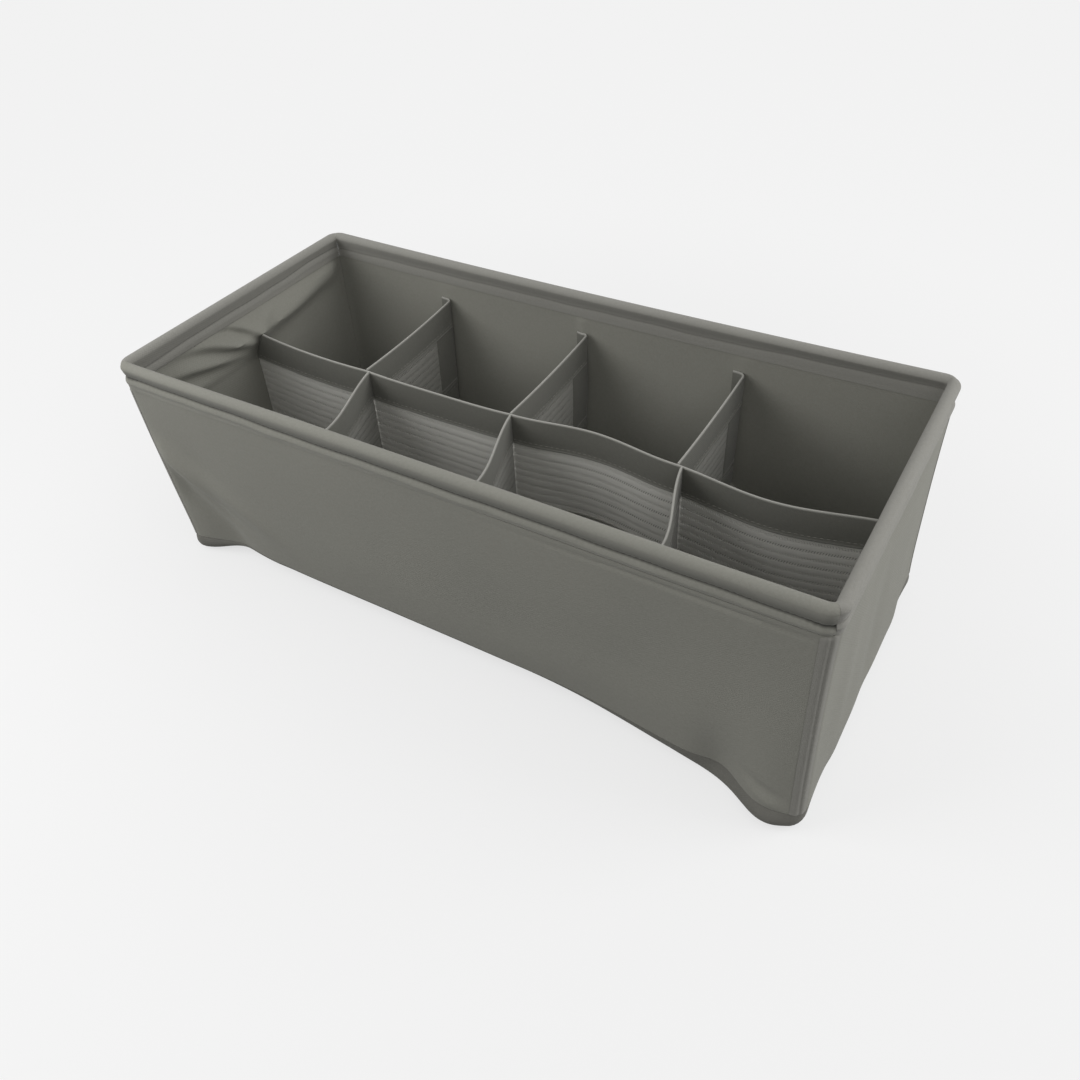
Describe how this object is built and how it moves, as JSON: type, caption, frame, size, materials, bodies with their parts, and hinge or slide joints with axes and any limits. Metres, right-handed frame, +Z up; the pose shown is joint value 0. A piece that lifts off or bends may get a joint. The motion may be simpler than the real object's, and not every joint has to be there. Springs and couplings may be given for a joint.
{
  "type": "clothes organizer",
  "caption": "Open soft fabric storage box with a rod-stiffened rolled rim, divided into cells by bound net partitions, for socks and underwear.",
  "frame": {"origin": "middle of the base between the walls, on the surface that the organizer stands on", "axes": "+X along the long side, to the right as seen from the front; +Y from front to back; +Z up"},
  "size_m": [0.4424, 0.2151, 0.152],
  "materials": {
    "shell_cloth": "matt non-woven cloth, two plies",
    "rim_cloth": "matt smooth cloth, rolled and stitched",
    "base_cloth": "matt non-woven cloth",
    "divider_net": "soft ribbed net with open holes",
    "divider_binding": "matt folded tape, stitched",
    "corner_tape": "matt folded tape, stitched",
    "rim_rod": "plain bright wire"
  },
  "bodies": {
    "root": {"front_wall": "shell_cloth", "right_end_wall": "shell_cloth", "back_wall": "shell_cloth", "left_end_wall": "shell_cloth", "bottom_panel": "base_cloth", "front_rim_casing": "rim_cloth", "right_rim_casing": "rim_cloth", "back_rim_casing": "rim_cloth", "left_rim_casing": "rim_cloth", "rim_rod": "rim_rod", "front_right_corner_tape": "corner_tape", "back_right_corner_tape": "corner_tape", "back_left_corner_tape": "corner_tape", "front_left_corner_tape": "corner_tape", "long_divider_net": "divider_net", "cross_divider_1_back_net": "divider_net", "cross_divider_1_front_net": "divider_net", "cross_divider_2_back_net": "divider_net", "cross_divider_2_front_net": "divider_net", "cross_divider_3_back_net": "divider_net", "cross_divider_3_front_net": "divider_net", "long_divider_binding": "divider_binding", "cross_divider_1_back_binding": "divider_binding", "cross_divider_1_front_binding": "divider_binding", "cross_divider_2_back_binding": "divider_binding", "cross_divider_2_front_binding": "divider_binding", "cross_divider_3_back_binding": "divider_binding", "cross_divider_3_front_binding": "divider_binding", "long_divider_hem": "divider_binding", "cross_divider_1_back_hem": "divider_binding", "cross_divider_1_front_hem": "divider_binding", "cross_divider_2_back_hem": "divider_binding", "cross_divider_2_front_hem": "divider_binding", "cross_divider_3_back_hem": "divider_binding", "cross_divider_3_front_hem": "divider_binding"}
  },
  "joints": []
}
